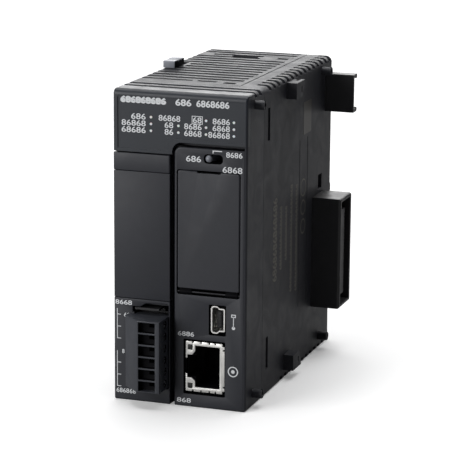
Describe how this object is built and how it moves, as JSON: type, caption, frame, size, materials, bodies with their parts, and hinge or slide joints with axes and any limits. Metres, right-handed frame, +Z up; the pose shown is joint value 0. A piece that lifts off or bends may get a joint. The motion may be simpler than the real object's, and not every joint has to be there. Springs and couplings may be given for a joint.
{
  "type": "programmable controller module",
  "caption": "Slim upright rail-mount controller module with indicator bezel, card door, network jack, service socket, pluggable terminal, side bus connector and slotted top.",
  "frame": {"origin": "centre of the foot of the overall box", "axes": "+X to the right side with the bus shroud, +Y to the rear where the rail is, +Z up; the front faces -Y"},
  "size_m": [0.054, 0.098, 0.1024],
  "materials": {
    "housing": "fine spark-eroded texture, charcoal",
    "front_plastic": "fine matt texture, charcoal",
    "bezel": "satin, charcoal",
    "dark_plastic": "satin, near black",
    "lever_grey": "satin, light grey",
    "terminal_plastic": "satin, slate",
    "clear_guide": "clear moulded",
    "lamp_white": "milky",
    "board_green": "solder mask",
    "chip_black": "moulded epoxy",
    "plated_shell": "bright tin plate",
    "spring_steel": "drawn wire",
    "zinc_screw": "zinc plated",
    "gold_contact": "gold flash",
    "tin_contact": "tin plated",
    "heat_aluminium": "extruded",
    "capacitor_sleeve": "sleeved can",
    "cell_steel": "nickel plated"
  },
  "bodies": {
    "housing": {"case_left": "housing", "case_right": "housing", "front_frame": "front_plastic", "display_bezel": "bezel", "light_guides": "clear_guide", "lamp_board": "board_green", "lamps": "lamp_white", "right_panel": "front_plastic", "card_door_pin": "spring_steel", "card_tray": "dark_plastic", "card_socket": "tin_contact", "mode_switch_body": "dark_plastic", "usb_shell": "plated_shell", "usb_tongue": "dark_plastic", "usb_contacts": "gold_contact", "jack_shield": "plated_shell", "jack_insert": "dark_plastic", "jack_contacts": "gold_contact", "jack_lamp_guides": "clear_guide", "serial_panel": "front_plastic", "terminal_header": "dark_plastic", "terminal_pins": "tin_contact", "cassette_band": "front_plastic", "cassette_connector": "dark_plastic", "main_board": "board_green", "left_board": "board_green", "board_connector": "dark_plastic", "board_screws": "zinc_screw", "processor": "chip_black", "heat_spreader": "heat_aluminium", "memory_chips": "chip_black", "network_transformer": "chip_black", "capacitors": "capacitor_sleeve", "power_inductor": "chip_black", "cell_holder": "dark_plastic", "backup_cell": "cell_steel", "bus_shroud": "dark_plastic", "bus_tongue": "dark_plastic", "bus_contacts": "gold_contact", "left_bus_socket": "dark_plastic", "alignment_channel": "dark_plastic", "latch_spring": "spring_steel"},
    "card_door": {"card_door": "front_plastic"},
    "mode_lever": {"mode_switch_lever": "lever_grey"},
    "terminal_plug": {"terminal_plug": "terminal_plastic", "plug_clamps": "tin_contact", "plug_screws": "zinc_screw"},
    "cassette_cover": {"cassette_cover": "front_plastic"},
    "lock_lever_top": {"lock_lever_top": "lever_grey"},
    "lock_lever_bottom": {"lock_lever_bottom": "lever_grey"},
    "rail_latch": {"rail_latch": "dark_plastic"}
  },
  "joints": [
    {"name": "card_door_hinge", "type": "hinge", "parent": "housing", "child": "card_door", "pos_m": [0.00447, -0.0402, 0.03725], "axis": [1, 0, 0], "range_deg": [0, 100]},
    {"name": "mode_lever_turn", "type": "hinge", "parent": "housing", "child": "mode_lever", "pos_m": [0.006, -0.0346, 0.07992], "axis": [0, 0, 1], "range_deg": [0, 30]},
    {"name": "terminal_plug_pull", "type": "slide", "parent": "housing", "child": "terminal_plug", "axis": [0, -1, 0], "range_m": [0, 0.016]},
    {"name": "cassette_cover_pull", "type": "slide", "parent": "housing", "child": "cassette_cover", "axis": [0, -1, 0], "range_m": [0, 0.016]},
    {"name": "lock_lever_top_slide", "type": "slide", "parent": "housing", "child": "lock_lever_top", "axis": [0, 1, 0], "range_m": [0, 0.006]},
    {"name": "lock_lever_bottom_slide", "type": "slide", "parent": "housing", "child": "lock_lever_bottom", "axis": [0, 1, 0], "range_m": [0, 0.006]},
    {"name": "rail_latch_slide", "type": "slide", "parent": "housing", "child": "rail_latch", "axis": [0, 0, -1], "range_m": [0, 0.0032], "stiffness_N_per_m": 400, "springref_m": -0.004, "deforming": ["latch_spring"]}
  ]
}
